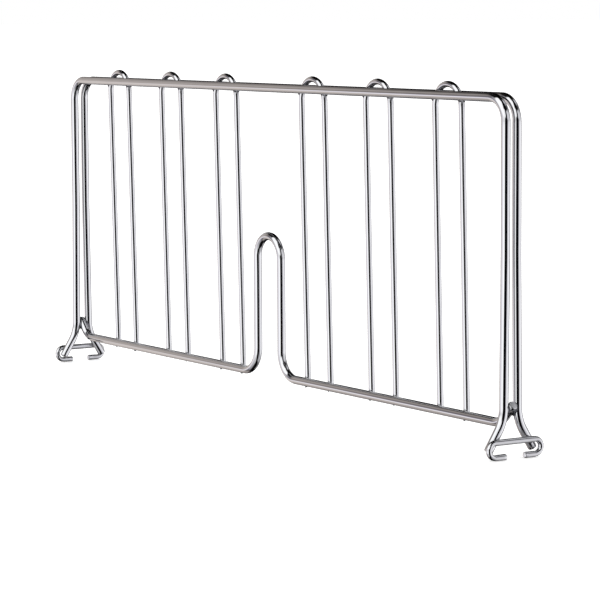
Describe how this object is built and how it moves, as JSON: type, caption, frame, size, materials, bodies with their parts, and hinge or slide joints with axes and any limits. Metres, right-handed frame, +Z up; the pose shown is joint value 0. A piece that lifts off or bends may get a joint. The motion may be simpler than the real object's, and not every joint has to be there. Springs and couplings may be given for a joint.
{
  "type": "wire shelf divider",
  "caption": "See-through divider of bent and welded chrome wire: a railed frame with hairpin uprights, a spring loop in its base wire and hooked feet that clip onto a wire shelf.",
  "frame": {"origin": "centre of the footprint, at the underside of the two foot clips", "axes": "+X along the divider towards its front end, +Y across it towards the side that the hairpins' lower ends are welded to, +Z up"},
  "size_m": [0.5098, 0.0384, 0.2031],
  "materials": {
    "chrome_wire": "bright chrome plate over drawn steel wire"
  },
  "bodies": {
    "root": {"frame_wire_left": "chrome_wire", "frame_wire_right": "chrome_wire", "base_spring_wire": "chrome_wire", "hairpin_1": "chrome_wire", "hairpin_2": "chrome_wire", "hairpin_3": "chrome_wire", "hairpin_4": "chrome_wire", "hairpin_5": "chrome_wire", "hairpin_6": "chrome_wire", "foot_clip_rear": "chrome_wire", "foot_clip_front": "chrome_wire"}
  },
  "joints": []
}
